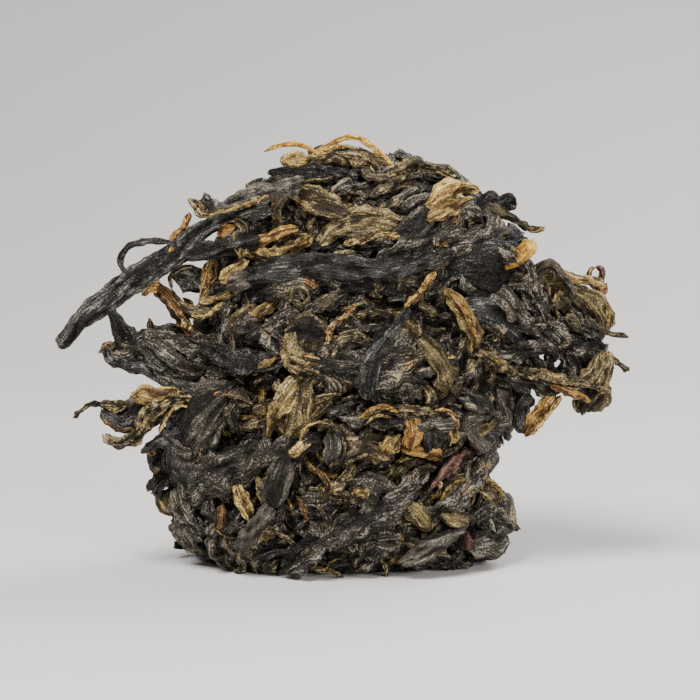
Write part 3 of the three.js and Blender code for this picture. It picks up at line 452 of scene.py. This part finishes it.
# A well-spaced smooth line through a few points.
def smoothRoute(points, count):
    points = np.asarray(points, float)
    gaps = np.linalg.norm(np.diff(points, axis=0), axis=1)
    knots = np.concatenate([[0], np.cumsum(gaps)])
    slopes = np.gradient(points, knots, axis=0)
    dense = np.linspace(0, knots[-1], 240)
    piece = np.clip(np.searchsorted(knots, dense, side="right") - 1, 0, len(gaps) - 1)
    span = gaps[piece][:, None]
    t = ((dense - knots[piece])[:, None]) / span
    line = (
        points[piece] * (2 * t**3 - 3 * t**2 + 1) + slopes[piece] * span * (t**3 - 2 * t**2 + t)
        + points[piece + 1] * (3 * t**2 - 2 * t**3) + slopes[piece + 1] * span * (t**3 - t**2))
    run = np.concatenate([[0], np.cumsum(np.linalg.norm(np.diff(line, axis=0), axis=1))])
    even = np.linspace(0, run[-1], count)
    return np.stack([np.interp(even, run, line[:, i]) for i in range(3)], -1), run[-1]


# Collects leaves of one kind into one mesh.
class Heap:
    def __init__(self):
        self.places, self.corners, self.sheets, self.looks, self.start = [], [], [], [], 0

    # grid: rings x sides places, closed round and capped at both ends. spread: the same for the flat map,
    # with one more column. looks: ring x side x 3 values between 0 and 1.
    def addTube(self, grid, spread, looks):
        rings, sides = grid.shape[:2]
        middles = np.stack([grid[0].mean(0), grid[-1].mean(0)])
        self.places.append(np.concatenate([grid.reshape(-1, 3), middles]))
        ends = np.stack([looks[0].mean(0), looks[-1].mean(0)])
        self.looks.append(np.concatenate([looks.reshape(-1, 3), ends]))
        ring, side = np.meshgrid(np.arange(rings - 1), np.arange(sides), indexing="ij")
        after = (side + 1) % sides
        quads = np.stack([ring * sides + side, (ring + 1) * sides + side,
                          (ring + 1) * sides + after, ring * sides + after], -1).reshape(-1, 4)
        sheet = np.stack([spread[ring, side], spread[ring + 1, side],
                          spread[ring + 1, side + 1], spread[ring, side + 1]], 2).reshape(-1, 4, 2)
        one, two, three, four = quads.T
        triangles = np.concatenate([np.stack([one, two, three], -1), np.stack([one, three, four], -1)])
        sheets = np.concatenate([sheet[:, [0, 1, 2]], sheet[:, [0, 2, 3]]])
        turn = np.arange(sides)
        after = (turn + 1) % sides
        last = (rings - 1) * sides
        startCap = np.stack([np.full(sides, rings * sides), turn, after], -1)
        endCap = np.stack([np.full(sides, rings * sides + 1), last + after, last + turn], -1)
        first, final = spread[0], spread[-1]
        startSheet = np.stack([first[:-1] * [1, 0] + first.mean(0) * [0, 1], first[:-1], first[1:]], 1)
        endSheet = np.stack([final[:-1] * [1, 0] + final.mean(0) * [0, 1], final[1:], final[:-1]], 1)
        self.corners.append(np.concatenate([triangles, startCap, endCap]) + self.start)
        self.sheets.append(np.concatenate([sheets, startSheet, endSheet]))
        self.start += rings * sides + 2

    def build(self, name, slot):
        places = np.concatenate(self.places) * mm
        corners = np.concatenate(self.corners)
        mesh = bpy.data.meshes.new(name)
        mesh.vertices.add(len(places))
        mesh.vertices.foreach_set("co", places.ravel())
        mesh.loops.add(corners.size)
        mesh.loops.foreach_set("vertex_index", corners.ravel())
        mesh.polygons.add(len(corners))
        mesh.polygons.foreach_set("loop_start", np.arange(0, corners.size, 3))
        mesh.update(calc_edges=True)
        sheet = mesh.uv_layers.new(name="LeafMap")
        sheet.data.foreach_set("uv", np.concatenate(self.sheets).ravel())
        looks = np.concatenate(self.looks)
        colours = mesh.color_attributes.new(name="leaf", type="FLOAT_COLOR", domain="POINT")
        colours.data.foreach_set("color", np.concatenate([looks, np.ones((len(looks), 1))], 1).ravel())
        mesh.polygons.foreach_set("use_smooth", np.ones(len(corners), bool))
        mesh.validate()
        piece = bpy.data.objects.new(name, mesh)
        bpy.context.collection.objects.link(piece)
        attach(piece, "root")
        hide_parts(node)
        print(name, len(corners), "triangles")
        return piece


heaps = {}  # one for each kind of leaf


# One rolled leaf. outward: the side that shows. seed sets its folds. The last argument: how dark the painted
# shade on its underside is, from 0 to 1.
def addLeaf(kind, points, outward, width, flat, seed, sides, step, shadeBelow=0.0):
    draw = np.random.default_rng(seed)
    rugged = ruggedness.get(kind, 1)
    widths = np.atleast_1d(width)
    width = widths.max()
    _, length = smoothRoute(points, 8)
    rings = max(8, int(length / step))
    line, length = smoothRoute(points, rings)
    share = np.linspace(0, 1, rings)
    far = share * length / width
    offset = draw.random(3) * 50
    sway = np.stack([noiseAt(np.stack([far * 0.6 + offset[0], far * 0 + i, far * 0 + offset[1]], -1))
                     for i in range(3)], -1)
    calm = np.sin(np.pi * share) ** 0.5
    line = line + sway * (leafShape["gnarl"] * rugged * width * calm)[:, None]
    along = unit(np.gradient(line, axis=0))
    hint = np.broadcast_to(np.asarray(outward, float), (rings, 3))
    out = unit(hint - along * np.sum(hint * along, -1, keepdims=True))
    side = np.cross(along, out)

    turn = np.linspace(0, 2 * np.pi, sides + 1) - np.pi / 2  # the seam lies underneath
    twist = draw.uniform(-0.6, 0.6) + draw.uniform(-0.45, 0.45) * far
    angle = turn + twist[:, None]
    farRound = np.broadcast_to(far[:, None], angle.shape)

    def around(scale, stretch, shift):
        return np.stack([np.cos(angle) * scale + offset[0] + shift, np.sin(angle) * scale + offset[1],
                         farRound * stretch + offset[2]], -1)

    folds = ridgesAt(around(*leafShape["foldWaves"], 0)) - 0.55
    wrinkles = ridgesAt(around(*leafShape["wrinkleWaves"], 9)) - 0.55
    crumple = noiseAt(around(*leafShape["crumpleWaves"], 29))
    lipPlace = draw.uniform(0, 2 * np.pi) + draw.uniform(-0.6, 0.6) * farRound
    lipPlace = lipPlace + 0.8 * noiseAt(around(0.01, 0.9, 37))
    lip = ((turn - lipPlace) / (2 * np.pi)) % 1.0
    size = 1 + rugged * (leafShape["folds"] * folds + leafShape["wrinkles"] * wrinkles
                         + leafShape["crumple"] * crumple + leafShape["lip"] * (lip - 0.5))
    size[:, -1] = size[:, 0]

    nearest = np.minimum(share, 1 - share) * 2
    taper = leafShape["endSize"] + (1 - leafShape["endSize"]) * (1 - (1 - nearest) ** 2.6)
    swell = noiseAt(np.stack([far * 0.9 + offset[1], far * 0 + 3, far * 0], -1))
    taper = taper * (1 + leafShape["uneven"] * swell)
    rounding = np.clip(np.minimum(share, 1 - share) * length / (0.22 * width), 0, 1)
    taper = taper * (0.3 + 0.7 * np.sqrt(rounding * (2 - rounding)))
    taper = taper * np.interp(share, np.linspace(0, 1, len(widths)), widths / width)
    grown = size * taper[:, None] * width / 2
    across = np.cos(turn) * grown
    through = np.sin(turn) * grown * flat
    bow = noiseAt(np.stack([farRound * 0.8 + offset[2], np.cos(turn) * 0.9 + farRound * 0,
                            farRound * 0 + 8], -1))
    through = through + bow * width * leafShape["bow"]
    spin = (draw.uniform(-0.3, 0.3) + draw.uniform(-0.16, 0.16) * far)[:, None]
    turnedAcross = across * np.cos(spin) - through * np.sin(spin)
    turnedThrough = across * np.sin(spin) + through * np.cos(spin)
    grid = line[:, None] + side[:, None] * turnedAcross[..., None] + out[:, None] * turnedThrough[..., None]
    edge = np.clip(1 - np.minimum(share, 1 - share) * length / (0.8 * width), 0, 1)[:, None]
    torn = noiseAt(np.stack([np.cos(turn) * 1.9 + offset[0], np.sin(turn) * 1.9, turn * 0 + 5], -1))
    way = np.where(share < 0.5, -1, 1)[:, None]
    tear = edge * torn * way * leafShape["ragged"] * rugged * width * 0.35
    grid = grid + along[:, None] * tear[..., None]
    dents = (ridgesAt(grid * 0.8) - 0.6) * rugged * min(leafShape["dents"], 0.18 * width)
    grid = grid + unit(grid - line[:, None]) * dents[..., None]
    grid[:, -1] = grid[:, 0]
    grid[..., 2] = np.maximum(grid[..., 2], 0.02)

    spread = np.stack([np.broadcast_to((share * length)[:, None], angle.shape),
                       np.broadcast_to(turn * width * (0.3 + 0.2 * flat), angle.shape)], -1)
    # Painted shade: the outer side, which faces the light, keeps its colour, and the underside is darkened.
    lit = np.clip(0.62 + 1.1 * np.sin(turn), 0, 1)
    # The height of the folds, low in the valleys, where the shader paints the crease colour as shade.
    ridge = np.clip(0.58 + 0.6 * folds + 0.6 * wrinkles + 0.5 * crumple, 0, 1) * (1 - shadeBelow * (1 - lit))
    lipEdge = np.clip(1 - np.minimum(1 - lip, lip) * 12, 0, 1) * (lip > 0.5)
    rim = np.clip(1 - np.minimum(share, 1 - share) * length / 0.5, 0, 1)[:, None]
    tone = np.full(angle.shape, draw.random())
    looks = np.stack([ridge, tone, np.maximum(lipEdge, rim)], -1)
    heaps.setdefault(kind, Heap()).addTube(grid[:, :-1], spread + offset[:2] * 7, looks[:, :-1])


def insideCore(point):
    left, right, front, back = levelAt(point[2])
    return np.array([np.clip(point[0], left + 4, right - 4), np.clip(point[1], -0.4 * front, 0.4 * back),
                     np.clip(point[2], 0, coreHeight - 4)])


def sidesFor(width, flat):
    around = np.pi * np.max(width) * (0.3 + 0.2 * flat) * 2
    return int(np.clip(around / leafShape["sideStep"], 14, 64))


# The direction straight out of the front of the mass at a point.
def normalAt(point):
    left, right, _, _ = levelAt(point[2])
    across = np.clip((point[0] - (left + right) / 2) / ((right - left) / 2), -0.98, 0.98)
    angle = -np.arccos(signedPower(across, core["squareness"] / 2))
    return coreNormal(angle, np.clip(point[2], 1, coreHeight - 4))


def pixelsOf(route):
    return [tuple(map(int, pixel.split(","))) for pixel in route.split()]


def addNamedStrips():
    outward = np.array([0, -1, 0.1])
    step = leafShape["ringStep"]
    for index, (look, width, flat, near, root, route) in enumerate(freeStrips.values()):
        route = pixelsOf(route)
        shares = np.linspace(0, 1, len(route))
        points = [fromPhoto(pixel, near[0] + (near[1] - near[0]) * s) for pixel, s in zip(route, shares)]
        if root == "start":
            points.insert(0, insideCore(points[0]))
        if root == "end":
            points.append(insideCore(points[-1]))
        kind = "loose" if look == "dark" else look
        addLeaf(kind, points, outward, width, flat, seeds["free"] + index,
                sidesFor(width, flat), step)
    for index, (look, width, flat, lift, route) in enumerate(pressedStrips.values()):
        route = pixelsOf(route)
        last = len(route) - 1
        points = [onFront(pixel, lift - (endDip if i in (0, last) else 0)) for i, pixel in enumerate(route)]
        facing = outward + normalAt(points[len(points) // 2])
        kind = "pressed" if look == "dark" else look
        addLeaf(kind, points, facing, width, flat, seeds["pressed"] + index,
                sidesFor(width, flat), step, undersideShade)


# Repeatable draws between 0 and 1, the same as the solid's.
def drawsFrom(seed):
    state = seed
    mask = 0xFFFFFFFF

    def draw():
        nonlocal state
        state = (state + 0x6D2B79F5) & mask
        t = ((state ^ (state >> 15)) * (1 | state)) & mask
        t = ((t + (((t ^ (t >> 7)) * (61 | t)) & mask)) & mask) ^ t
        return ((t ^ (t >> 14)) & mask) / 4294967296

    return draw


# A route over the mass that starts at an angle and height and runs along a bearing.
def overCore(angle, height, length, slant, sway, lift, stations=4):
    left, right, _, _ = levelAt(height)
    radius = (right - left) / 3
    shares = np.linspace(-0.5, 0.5, stations)
    bearing = slant + sway * shares * 2
    turned = angle + np.cos(bearing) * length * shares / radius
    raised = np.clip(height + np.sin(bearing) * length * shares, 0, coreHeight)
    return corePoint(turned, raised) + coreNormal(turned, raised) * np.reshape(lift, (-1, 1))


def addScatteredStrips():
    draw = drawsFrom(scattered["seed"])

    def between(low, high):
        return low + (high - low) * draw()

    goldenTurn = math.pi * (3 - math.sqrt(5))
    for i in range(scattered["count"]):
        angle = (i * goldenTurn) % (2 * math.pi)
        share = scattered["lowest"] + (scattered["highest"] - scattered["lowest"]) * i / scattered["count"]
        height = coreHeight * share
        length = between(scattered["shortest"], scattered["longest"])
        slant = between(-scattered["slant"], scattered["slant"])
        sway = between(-scattered["sway"], scattered["sway"])
        points = overCore(angle, height, length, slant, sway, scattered["lift"])
        width = between(scattered["narrowest"], scattered["widest"])
        flat = between(scattered["flattest"], scattered["roundest"])
        look = "brown" if i % 4 == 1 and math.sin(angle) > 0 else "back"
        addLeaf(look, points, coreNormal(angle, height), width, flat, seeds["scattered"] + i,
                scattered["sides"], scattered["step"], undersideShade)


# The angle at a share of the way round the mass, so that equal shares are equal lengths.
def angleAt(share, height, start, sweep):
    angles = start + np.linspace(0, sweep, 181)
    gaps = np.linalg.norm(np.diff(corePoint(angles, height), axis=0), axis=1)
    run = np.concatenate([[0], np.cumsum(gaps)])
    return float(np.interp(share * run[-1], run, angles))


def addFillers(kind):
    settings = fillers[kind]
    draw = np.random.default_rng(settings["seed"])
    start, sweep = [turn * math.pi for turn in settings["turns"]]
    gold, brown = settings["golden"]
    for i in range(settings["count"]):
        height = coreHeight * (0.01 + 0.98 * (i + 0.5) / settings["count"])
        angle = angleAt((i * goldenShare) % 1.0, height, start, sweep)
        front = math.sin(angle) < -0.1
        slant = draw.normal(0, 0.8) + (0.9 if front and height < 32 else 0)
        first, last = settings["ends"]
        lift = draw.uniform(*settings["lift"]) + np.array([first, 0, 0, max(0, last * 0.3), last])
        lift = lift - max(0, height - 42) * settings["sink"]
        length = draw.uniform(*settings["length"])
        points = overCore(angle, height, length, slant, draw.normal(0, 0.35), lift, 5)
        width, flat = draw.uniform(*settings["width"]), draw.uniform(*settings["flat"])
        chance = draw.random()
        look = "gold" if chance < gold else "brown" if chance < brown else kind
        width = width * 0.5 if look == "gold" else width
        addLeaf(look, points, coreNormal(angle, height), width, flat, settings["seed"] * 1000 + i,
                settings["sides"], settings["step"], undersideShade)


# The mass that shows between the leaves, darker than they are: painted shade in the gaps between them.
def makeCore():
    rings, segments = core["rings"], core["segments"]
    heights = np.linspace(0, 1, rings) ** 0.9 * (coreHeight - 0.4)
    turn = np.linspace(2 * np.pi, 0, segments + 1)  # clockwise, so that the faces look outward
    angle, height = np.meshgrid(turn, heights)
    grid = corePoint(angle, height)
    normal = coreNormal(angle, np.clip(height, 0.1, coreHeight - 0.1))
    (coarse, high), (fine, low) = core["coarse"], core["fine"]
    rough = ridgesAt(grid * coarse) * high + ridgesAt(grid * fine + 9) * low - core["sink"]
    grid = grid + normal * rough[..., None]
    grid[..., 2] = np.maximum(grid[..., 2], 0)
    spread = np.stack([height, angle * 12], -1)
    # Lower in the dips of its roughness, so that the crease colour paints shade there.
    looks = np.stack([np.clip(1.2 + rough * 0.6, 0, 1), rough * 0 + 0.3, rough * 0], -1)
    heap = Heap()
    heap.addTube(grid[:, :-1], spread, looks[:, :-1])
    return heap.build("pressed_core", "pressed_tea")


# A socket with arithmetic.
class Wire:
    def __init__(self, graph, socket):
        self.graph, self.socket = graph, socket

    def maths(self, operation, *values):
        return self.graph.make("ShaderNodeMath", {"operation": operation}, dict(enumerate(values)))

    def __add__(self, other):
        return self.maths("ADD", self, other)

    def __radd__(self, other):
        return self.maths("ADD", other, self)

    def __sub__(self, other):
        return self.maths("SUBTRACT", self, other)

    def __rsub__(self, other):
        return self.maths("SUBTRACT", other, self)

    def __mul__(self, other):
        return self.maths("MULTIPLY", self, other)

    def __rmul__(self, other):
        return self.maths("MULTIPLY", other, self)

    def __abs__(self):
        return self.maths("ABSOLUTE", self)

    def clamp(self):
        return self.graph.make("ShaderNodeClamp", {}, {"Value": self})


class Graph:
    def __init__(self, name):
        self.material = bpy.data.materials.new(name)
        self.material.use_nodes = True
        self.tree = self.material.node_tree
        self.shader = self.tree.nodes["Principled BSDF"]

    def make(self, kind, settings, inputs, output=0):
        made = self.tree.nodes.new(kind)
        for key, value in settings.items():
            setattr(made, key, value)
        for key, value in inputs.items():
            if isinstance(value, Wire):
                self.tree.links.new(value.socket, made.inputs[key])
            else:
                made.inputs[key].default_value = value
        return Wire(self, made.outputs[output])

    # A smooth step of a value between two edges.
    def ramp(self, value, low, high):
        return self.make("ShaderNodeMapRange", {"interpolation_type": "SMOOTHSTEP"},
                         {"Value": value, "From Min": low, "From Max": high})

    def mix(self, factor, first, second):
        settings = {"data_type": "RGBA"}
        return self.make("ShaderNodeMix", settings, {0: factor, 6: first, 7: second}, 2)

    def noise(self, place, scale, detail):
        return self.make("ShaderNodeTexNoise", {}, {
            "Vector": place, "Scale": scale, "Detail": detail, "Roughness": 0.55})

    # Thin lines where a noise passes its middle. thick is from 0 to 1.
    def threads(self, place, scale, thick):
        return self.ramp(abs(self.noise(place, scale, 1.0) * 2 - 1), thick, 0.0)

    def stretched(self, place, scale):
        return self.make("ShaderNodeMapping", {}, {"Vector": place, "Scale": scale})

    def finish(self, colour, roughness, normal, settings):
        for key, value in (("Base Color", colour), ("Roughness", roughness), ("Normal", normal)):
            self.tree.links.new(value.socket, self.shader.inputs[key])
        for key, value in settings.items():
            self.shader.inputs[key].default_value = value
        return self.material


def rgb(red, green, blue):
    def linear(value):
        value = value / 255
        return value / 12.92 if value <= 0.04045 else ((value + 0.055) / 1.055) ** 2.4
    return (linear(red), linear(green), linear(blue), 1.0)


# How a kind of leaf is coloured, out of 255: its creases, which are painted shade, body and golden body, and
# its ridges where they are plain, golden, amber or, on some leaves, cool. Then how golden it is, from 0 to
# 1, how strong its painted sheen and fibres are, how short the fibres, how strong its grain, how sparse its
# ridges, and its roughness.
darkLook = {
    "crease": (12, 9, 6), "body": (48, 42, 34), "olive": (68, 57, 39), "ridge": (132, 123, 107),
    "gold": (174, 150, 104), "amber": (176, 132, 76), "cool": (120, 118, 112), "golden": 0.3, "paintedSheen": 0.24,
    "fibre": 0.5, "short": 0.36, "grain": 3.4, "sparse": 0.34, "rough": 0.4,
}
brownLook = dict(
    darkLook, crease=(20, 14, 8), body=(69, 60, 43), olive=(88, 75, 49), ridge=(142, 128, 97),
    gold=(186, 164, 112), cool=(124, 112, 92), golden=0.6, paintedSheen=0.12, fibre=0.6, short=0.28, rough=0.46)
goldLook = dict(
    darkLook, crease=(48, 34, 17), body=(120, 97, 54), olive=(128, 106, 58), ridge=(182, 157, 98),
    gold=(224, 195, 122), amber=(214, 165, 90), cool=(162, 142, 99), golden=0.7, paintedSheen=0.1, fibre=0.72,
    short=0.24, rough=0.48)
looks = {
    "loose": darkLook,
    "pressed": darkLook,
    "smooth": dict(
        darkLook, body=(47, 45, 41), ridge=(120, 116, 108), golden=0.0, paintedSheen=0.44, fibre=0.34, grain=2.4,
        rough=0.36),
    "black": dict(darkLook, body=(24, 22, 19), olive=(30, 26, 21), ridge=(76, 71, 64), golden=0.0),
    "front": dict(darkLook, body=(46, 39, 31)),
    "back": darkLook,
    "flakes": dict(darkLook, golden=0.5),
    "brown": brownLook,
    "tan": dict(
        goldLook, crease=(38, 29, 17), body=(90, 78, 51), olive=(98, 85, 53), ridge=(144, 126, 89),
        gold=(178, 157, 108), amber=(182, 144, 86)),
    "gold": goldLook,
    "pale": dict(
        goldLook, crease=(56, 38, 18), body=(152, 124, 72), olive=(158, 130, 74), ridge=(206, 176, 108),
        gold=(242, 214, 136), amber=(226, 169, 84), cool=(200, 173, 112), sparse=0.36),
    "grey": dict(
        darkLook, crease=(24, 21, 17), body=(74, 67, 58), olive=(82, 71, 54), ridge=(138, 129, 115),
        golden=0.1, paintedSheen=0.34, fibre=0.4, grain=2.8),
    "amber": dict(
        goldLook, crease=(68, 44, 20), body=(152, 112, 58), olive=(162, 122, 64), ridge=(212, 172, 98),
        gold=(240, 204, 126), cool=(206, 168, 100)),
    "yellow": dict(
        goldLook, crease=(130, 88, 36), body=(196, 148, 54), olive=(202, 156, 60), ridge=(234, 192, 90),
        gold=(246, 214, 112), amber=(230, 176, 86), cool=(232, 192, 98)),
    "rust": dict(
        goldLook, crease=(32, 21, 13), body=(86, 61, 36), olive=(96, 69, 40), ridge=(150, 112, 68),
        gold=(200, 162, 102), amber=(198, 138, 72), cool=(150, 116, 76)),
    "red": dict(
        darkLook, crease=(22, 12, 10), body=(70, 42, 34), olive=(72, 46, 35), ridge=(116, 78, 64),
        gold=(146, 106, 78)),
}
# Darker than any leaf: painted shade for the gaps between the leaves.
shadedCoreLook = dict(darkLook, body=(20, 18, 15))


def leafFinish(name, look):
    look = {key: rgb(*value) if isinstance(value, tuple) else value for key, value in look.items()}
    graph = Graph(name)
    data = graph.make("ShaderNodeAttribute", {"attribute_name": "leaf"}, {}, "Color")
    parts = graph.make("ShaderNodeSeparateColor", {}, {"Color": data})
    split = parts.socket.node.outputs
    ridge, tone, rim = Wire(graph, split[0]), Wire(graph, split[1]), Wire(graph, split[2])
    sheet = graph.make("ShaderNodeUVMap", {"uv_map": "LeafMap"}, {})
    place = graph.make("ShaderNodeTexCoord", {}, {}, "Object")
    wave = graph.make("ShaderNodeTexNoise", {}, {"Vector": sheet, "Scale": 0.7, "Detail": 2.0}, "Color")
    bent = graph.make("ShaderNodeMix", {"data_type": "VECTOR"}, {0: 0.25, 4: sheet, 5: wave}, 1)
    lines = graph.ramp(graph.noise(graph.stretched(bent, (look["short"], 4.6, 1)), 1.0, 2.0), 0.43, 0.7)
    hairs = graph.ramp(graph.noise(graph.stretched(bent, (look["short"] * 2, 7.4, 1)), 1.0, 1.0), 0.42, 0.62)
    creases = graph.threads(place, 700.0, 0.2)
    # Painted sheen: lighter patches in the colour that stand in for highlights on the leaf.
    paintedSheen = graph.ramp(graph.noise(place, 330.0, 2.0), 0.5, 0.72)
    patches = graph.noise(place, 300.0, 3.0)
    specks = graph.noise(place, 4400.0, 2.0) - 0.5
    relief = lines * (look["fibre"] * 0.6) + hairs * 0.35 + creases * 0.4 + specks * 0.8
    # Painted shade: the crease colour fills the valleys of the folds and the shaded undersides, broken by
    # grain.
    creaseShade = graph.ramp(ridge * 0.8 + hairs * 0.25 + specks, 0.15, 0.8)
    strands = lines * look["fibre"] + hairs * 0.55 + creases * 0.12
    strands = strands + paintedSheen * look["paintedSheen"] + specks * look["grain"]
    strands = strands * (ridge * 0.8 + 0.2) + (tone - 0.5) * 0.3 + rim * 0.3
    goldness = patches * 1.8 + lines * 0.15 + rim * 0.3 + tone * 0.45
    goldness = graph.ramp(goldness, 1.65 - look["golden"], 2.15 - look["golden"])
    golds = graph.mix(graph.ramp(graph.noise(place, 420.0, 3.0), 0.54, 0.68), look["gold"], look["amber"])
    cool = graph.ramp((tone * 5.0).maths("FRACT"), 0.4, 0.7)
    crest = graph.mix(goldness * (1 - cool * 0.4), graph.mix(cool, look["ridge"], look["cool"]), golds)
    body = graph.mix(goldness * 0.7, look["body"], look["olive"])
    colour = graph.mix(creaseShade, look["crease"], body)
    colour = graph.mix(graph.ramp(strands, look["sparse"], look["sparse"] + 0.7), colour, crest)
    rough = look["rough"] + (0.5 - hairs) * 0.2 + specks * 0.4
    normal = graph.make("ShaderNodeBump", {}, {"Strength": 1.0, "Distance": 0.0004, "Height": relief})
    return graph.finish(colour, rough.clamp(), normal, {"Specular IOR Level": 0.18})


def plainFinish(name, colour):
    graph = Graph(name)
    graph.shader.inputs["Base Color"].default_value = colour
    graph.shader.inputs["Roughness"].default_value = 0.9
    return graph.material


addNamedStrips()
addScatteredStrips()
for kind in fillers:
    addFillers(kind)
names = {
    "loose": "dark_loose_leaves", "pressed": "dark_pressed_leaves", "smooth": "smooth_dark_stalks",
    "black": "black_leaves", "front": "packed_leaves_front", "back": "packed_leaves_back",
    "flakes": "leaf_flakes", "brown": "brown_leaves", "tan": "tan_leaves", "gold": "golden_leaves",
    "pale": "pale_buds", "grey": "grey_leaves", "amber": "amber_strands", "yellow": "yellow_strands",
    "rust": "rust_stalks", "red": "red_flakes",
}
for kind, name in names.items():
    piece = heaps[kind].build(name, "pressed_tea")
    piece.data.materials.append(leafFinish(name, looks[kind]))
makeCore().data.materials.append(leafFinish("pressed_core", shadedCoreLook))


# The floor and the wall that it bends up into, in metres.
stage = {"side": 1.2, "front": -1.0, "back": 0.7, "wall": 1.6, "bend": 0.5, "colour": (192, 189, 186)}
strength = {"key": 7.5, "rim": 4.0, "front": 1.6, "world": 0.26}  # of the lights


def makeStage():
    bpy.ops.object.select_all(action="DESELECT")
    bpy.ops.mesh.primitive_plane_add(size=1)
    floor = bpy.context.object
    floor.name = "floor"
    places = [(x, y, 0) for y in (stage["front"], stage["back"]) for x in (-stage["side"], stage["side"])]
    for vertex, place in zip(floor.data.vertices, places):
        vertex.co = place
    bpy.ops.object.mode_set(mode="EDIT")
    bpy.ops.mesh.select_all(action="DESELECT")
    bpy.ops.object.mode_set(mode="OBJECT")
    for edge in floor.data.edges:
        edge.select = all(floor.data.vertices[v].co.y > 0.5 for v in edge.vertices)
    bpy.ops.object.mode_set(mode="EDIT")
    bpy.ops.mesh.select_mode(type="EDGE")
    bpy.ops.mesh.extrude_region_move(TRANSFORM_OT_translate={"value": (0, 0, stage["wall"])})
    bpy.ops.object.mode_set(mode="OBJECT")
    for edge in floor.data.edges:
        ends = [floor.data.vertices[v].co for v in edge.vertices]
        edge.select = all(abs(end.y - stage["back"]) < 0.01 and end.z < 0.01 for end in ends)
    bpy.ops.object.mode_set(mode="EDIT")
    bpy.ops.mesh.bevel(offset=stage["bend"], segments=24)
    bpy.ops.object.mode_set(mode="OBJECT")
    bpy.ops.object.shade_smooth()
    floor.data.materials.append(plainFinish("floor", rgb(*stage["colour"])))


def addLight(name, place, size):
    bpy.ops.object.light_add(type="AREA", location=place)
    light = bpy.context.object
    light.name = name
    way = np.array((0, 0, 0.03)) - np.array(place)  # to the middle of the piece
    tilt = math.acos(-way[2] / np.linalg.norm(way))
    light.rotation_euler = (tilt, 0, math.atan2(way[1], way[0]) - math.pi / 2)
    light.data.size = size
    light.data.energy = strength[name]


def lightAndCamera():
    addLight("key", (-0.2, -0.28, 0.5), 0.24)
    addLight("rim", (0.35, 0.2, 0.4), 0.3)
    addLight("front", (0.24, -0.3, 0.14), 0.2)
    world = bpy.data.worlds.new("studio")
    world.use_nodes = True
    world.node_tree.nodes["Background"].inputs["Color"].default_value = (1, 1, 1, 1)
    world.node_tree.nodes["Background"].inputs["Strength"].default_value = strength["world"]
    bpy.context.scene.world = world
    bpy.ops.object.camera_add(location=tuple(lensPlace * mm), rotation=(math.pi / 2 - elevation, 0, 0))
    camera = bpy.context.object
    camera.data.lens = photo["lens"]
    camera.data.sensor_width = 36
    camera.data.clip_start = 0.01
    bpy.context.scene.camera = camera


makeStage()
lightAndCamera()
